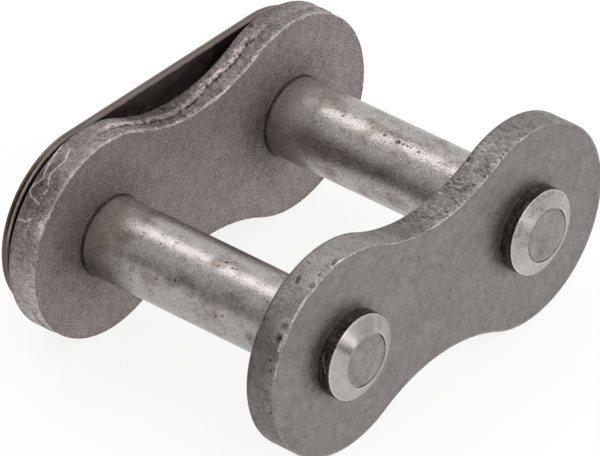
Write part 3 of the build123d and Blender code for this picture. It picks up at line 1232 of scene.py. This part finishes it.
def clip_outline(clip):
    """Closed outline of the clip from the clip's side: closed round the left pin, sprung over the right.

    The upper half runs from the closed end's seat along the window, round the open end's seat, through the
    throat to the prong's tip, and back over the top. The lower half mirrors it.
    """
    half_height = CLIP_HIGH.z
    seat = clip.seat_radius
    window = clip.window_half_height
    throat = clip.throat_half_height
    neck = clip.neck_length
    corner = 0.3 * MM
    hollow = 0.6 * MM
    tip = 1.0 * MM
    window_end = PITCH - 1.5 * MM
    passing = seat + corner
    throat_turn = (PITCH + sqrt(passing**2 - (throat + corner) ** 2), throat + corner)
    window_turn = (window_end + corner, sqrt(passing**2 - (PITCH - window_end - corner) ** 2))
    throat_start = PITCH + sqrt(seat**2 - throat**2)

    # The mouth flares from the end of the throat towards the open end
    mouth = Vector((throat_start + 0.6 * MM, throat))
    flare = (Vector((PITCH + half_height, 6.0 * MM)) - mouth).normalized()
    flare_angle = atan2(flare.y, flare.x)
    mouth_turn = mouth + Vector((-corner * (1 - cos(flare_angle)) / sin(flare_angle), corner))
    inner = mouth + Vector((-flare.y, flare.x)) * tip - Vector((PITCH, 0))
    slide = sqrt(inner.dot(flare) ** 2 - inner.length_squared + (half_height - tip) ** 2) - inner.dot(flare)
    tip_turn = inner + flare * slide
    tip_angle = atan2(tip_turn.y, tip_turn.x)

    upper = [
        ((0, 0), seat, pi, pi / 2),
        ((neck - corner, seat + corner), corner, -pi / 2, 0),
        ((neck + hollow, window - hollow), hollow, pi, pi / 2),
        ((window_end - hollow, window - hollow), hollow, pi / 2, 0),
        (window_turn, corner, pi, 2 * pi + atan2(-window_turn[1], PITCH - window_turn[0])),
        (
            (PITCH, 0),
            seat,
            atan2(window_turn[1], window_turn[0] - PITCH),
            atan2(throat_turn[1], throat_turn[0] - PITCH),
        ),
        (throat_turn, corner, atan2(-throat_turn[1], PITCH - throat_turn[0]), -pi / 2),
        (tuple(mouth_turn), corner, -pi / 2, flare_angle - pi / 2),
        ((PITCH + tip_turn.x, tip_turn.y), tip, flare_angle - pi / 2, tip_angle),
        ((PITCH, 0), half_height, tip_angle, pi / 2),
        ((0, 0), half_height, pi / 2, pi),
    ]
    lower = [((x, -y), radius, -end, -start) for (x, y), radius, start, end in reversed(upper)]
    return [(-x, y) for x, y in reversed(chain(upper + lower, 0.16 * MM))]


def build_clip():
    """Cut the spring clip from sheet in place of its solid."""
    clip = bpy.context.scene.link_clip
    thickness = CLIP_HIGH.y - CLIP_LOW.y
    sizes = {
        "Thickness": thickness,
        "Edge Round": clip.edge_round,
        "Corner Round": clip.edge_round,
        "Rim Width": clip.edge_round * 1.5,
        "Mesh Step": 0.05 * MM,
        "Tear Height": thickness * 0.5,
        "Tear Depth": 0.012 * MM,
        "Ridge Height": 0.0,
        "Gouge Depth": 0.012 * MM,
        "Burr Height": 0.0,
        "Wear Centre": (0.0, 0.0, 0.0),
        "Wear Radius": 1.0 * MM,
        "Seed": 23.0,
    }
    place = Matrix.Translation((0, CLIP_LOW.y, 0)) @ TURN_OVER
    tree = stamping_tree(with_holes=False)
    surface = clip_finish(clip.colour)
    piece = stamp("Spring_Clip", clip_outline(clip), tree, sizes, surface, place)
    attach(piece, "root")
    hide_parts("spring_clip")


# Stage


def build_camera(stage):
    """Stand the camera where the photograph was taken."""
    azimuth, elevation, roll = stage.azimuth, stage.elevation, stage.roll
    back = Vector((sin(azimuth) * cos(elevation), -cos(azimuth) * cos(elevation), sin(elevation)))
    level = Vector((cos(azimuth), sin(azimuth), 0.0))
    upright = back.cross(level)
    right = level * cos(roll) + upright * sin(roll)
    up = upright * cos(roll) - level * sin(roll)
    place = Vector(stage.target) + back * stage.distance
    data = bpy.data.cameras.new("Camera")
    data.lens = stage.lens
    data.sensor_width = 36.0
    data.clip_start = 0.05
    data.clip_end = 20.0
    camera = bpy.data.objects.new("Camera", data)
    rotation = Matrix((right, up, back)).transposed().to_4x4()
    camera.matrix_world = Matrix.Translation(place) @ rotation
    bpy.context.scene.collection.objects.link(camera)
    bpy.context.scene.camera = camera


def floor_finish():
    """White to the camera and in reflections, with a soft shadow, and plain pale grey to scattered light."""
    material = bpy.data.materials.new("Pale Floor")
    material.use_nodes = True
    graph = Graph(material.node_tree)
    material.node_tree.nodes.clear()
    path = graph.node("ShaderNodeLightPath")
    seen = graph.math("MAXIMUM", path.outputs["Is Camera Ray"], path.outputs["Is Glossy Ray"])
    seen = graph.math("MAXIMUM", seen, path.outputs["Is Transmission Ray"])
    plain = graph.node("ShaderNodeBsdfDiffuse", {"Color": (0.8, 0.8, 0.8, 1.0)})
    bright = graph.node("ShaderNodeBsdfDiffuse", {"Color": (1.0, 1.0, 1.0, 1.0)})
    glow = graph.node("ShaderNodeEmission", {"Strength": 1.0})
    white = graph.node("ShaderNodeMixShader", {"Fac": 0.15})
    graph.feed(white.inputs[1], glow.outputs[0])
    graph.feed(white.inputs[2], bright.outputs[0])
    chosen = graph.node("ShaderNodeMixShader", {"Fac": seen})
    graph.feed(chosen.inputs[1], plain.outputs[0])
    graph.feed(chosen.inputs[2], white.outputs[0])
    output = graph.node("ShaderNodeOutputMaterial")
    graph.feed(output.inputs["Surface"], chosen.outputs[0])
    return material


def build_floor(stage):
    """Lay a wide round floor whose rim curves up, so that a level view sees no end to it."""
    radius = stage.floor_radius
    rise = 0.25
    rings = [(radius * share, 0.0) for share in (0.1, 0.5, 1.0)]
    turns = [radians(turn) for turn in (20, 40, 60, 75)]
    rings += [(radius + rise * sin(turn), rise * (1 - cos(turn))) for turn in turns]
    count = 96
    points = [(0.0, 0.0, FLOOR_HEIGHT)]
    for reach, height in rings:
        for i in range(count):
            turn = 2 * pi * i / count
            points.append((reach * cos(turn), reach * sin(turn), FLOOR_HEIGHT + height))
    faces = [(0, 1 + i, 1 + (i + 1) % count) for i in range(count)]
    for ring in range(len(rings) - 1):
        base = 1 + ring * count
        for i in range(count):
            j = (i + 1) % count
            faces.append((base + i, base + count + i, base + count + j, base + j))
    mesh = bpy.data.meshes.new("Floor")
    mesh.from_pydata(points, [], faces)
    mesh.shade_smooth()
    mesh.materials.append(floor_finish())
    new_piece("Floor", mesh)


def build_world():
    """Light the studio: a dim horizon, a brighter sky, and pale walls on +X and -Y."""
    world = bpy.data.worlds.new("Studio")
    world.use_nodes = True
    bpy.context.scene.world = world
    graph = Graph(world.node_tree)
    background = world.node_tree.nodes["Background"]
    direction = graph.node("ShaderNodeTexCoord").outputs["Generated"]
    x, y, z = graph.parts(direction)
    sky = 0.32 + graph.smooth(z, 0.15, 0.65) * 0.45
    wall = graph.smooth(x, 0.1, 0.85) * 0.55
    front = graph.smooth(y, -0.1, -0.8) * (0.4 + graph.smooth(z, 0.08, 0.3) * 0.5)
    level = sky + wall + front
    graph.feed(background.inputs["Color"], graph.combine(level, level, level))
    background.inputs["Strength"].default_value = 1.0


def add_softbox(name, place, target, width, height, power):
    """Hang a soft rectangular lamp that looks at a point."""
    data = bpy.data.lights.new(name, "AREA")
    data.shape = "RECTANGLE"
    data.size = width
    data.size_y = height
    data.energy = power
    lamp = bpy.data.objects.new(name, data)
    aim = Vector(target) - Vector(place)
    lamp.matrix_world = Matrix.Translation(place) @ aim.to_track_quat("-Z", "Y").to_matrix().to_4x4()
    bpy.context.scene.collection.objects.link(lamp)


def build_stage():
    """Set up the camera, the floor and the light."""
    stage = bpy.context.scene.link_stage
    build_camera(stage)
    build_floor(stage)
    build_world()
    centre = (HALF_PITCH, 0.0, 0.0)
    top_place, front_place = (0.12, 0.62, 0.95), (0.13, -1.0, 0.035)
    add_softbox("Top Softbox", top_place, centre, width=0.45, height=0.45, power=1.5)
    add_softbox("Front Strip", front_place, (0.0, 0.0, 0.0), width=0.1, height=0.09, power=0.09)
    bpy.context.scene.view_settings.view_transform = "Standard"


# Operators


class LINK_OT_plates(bpy.types.Operator):
    """Stamp the front plate and the connecting plate"""

    bl_idname = "link.build_plates"
    bl_label = "Build Plates"

    def execute(self, context):
        build_plates()
        return {"FINISHED"}


class LINK_OT_pins(bpy.types.Operator):
    """Turn and grind both pins"""

    bl_idname = "link.build_pins"
    bl_label = "Build Pins"

    def execute(self, context):
        build_pins()
        return {"FINISHED"}


class LINK_OT_clip(bpy.types.Operator):
    """Cut and temper the spring clip"""

    bl_idname = "link.build_clip"
    bl_label = "Build Clip"

    def execute(self, context):
        build_clip()
        return {"FINISHED"}


class LINK_OT_stage(bpy.types.Operator):
    """Set up the floor, the light and the camera"""

    bl_idname = "link.build_stage"
    bl_label = "Build Stage"

    def execute(self, context):
        build_stage()
        return {"FINISHED"}


class LINK_PT_panel(bpy.types.Panel):
    """Lists the pieces of the link in the sidebar"""

    bl_idname = "LINK_PT_panel"
    bl_label = "Connecting Link"
    bl_space_type = "VIEW_3D"
    bl_region_type = "UI"
    bl_category = "Chain Link"

    def draw(self, context):
        for operator, settings in PARTS:
            box = self.layout.box()
            box.operator(operator.bl_idname)
            group = getattr(context.scene, settings)
            for name in group.__annotations__:
                box.prop(group, name)


PARTS = (
    (LINK_OT_plates, "link_plate"),
    (LINK_OT_pins, "link_pin"),
    (LINK_OT_clip, "link_clip"),
    (LINK_OT_stage, "link_stage"),
)
SETTINGS = {
    "link_plate": PlateSettings,
    "link_pin": PinSettings,
    "link_clip": ClipSettings,
    "link_stage": StageSettings,
}
CLASSES = (*SETTINGS.values(), *(operator for operator, _ in PARTS), LINK_PT_panel)


def register():
    """Register the classes and hang the settings on the scene."""
    for cls in CLASSES:
        bpy.utils.register_class(cls)
    for name, group in SETTINGS.items():
        setattr(bpy.types.Scene, name, PointerProperty(type=group))


def unregister():
    """Take the settings and the classes away again."""
    for name in SETTINGS:
        delattr(bpy.types.Scene, name)
    for cls in reversed(CLASSES):
        bpy.utils.unregister_class(cls)


def main():
    """Build every piece in order."""
    register()
    bpy.ops.link.build_stage()
    bpy.ops.link.build_plates()
    bpy.ops.link.build_pins()
    bpy.ops.link.build_clip()


if __name__ == "__main__":
    main()
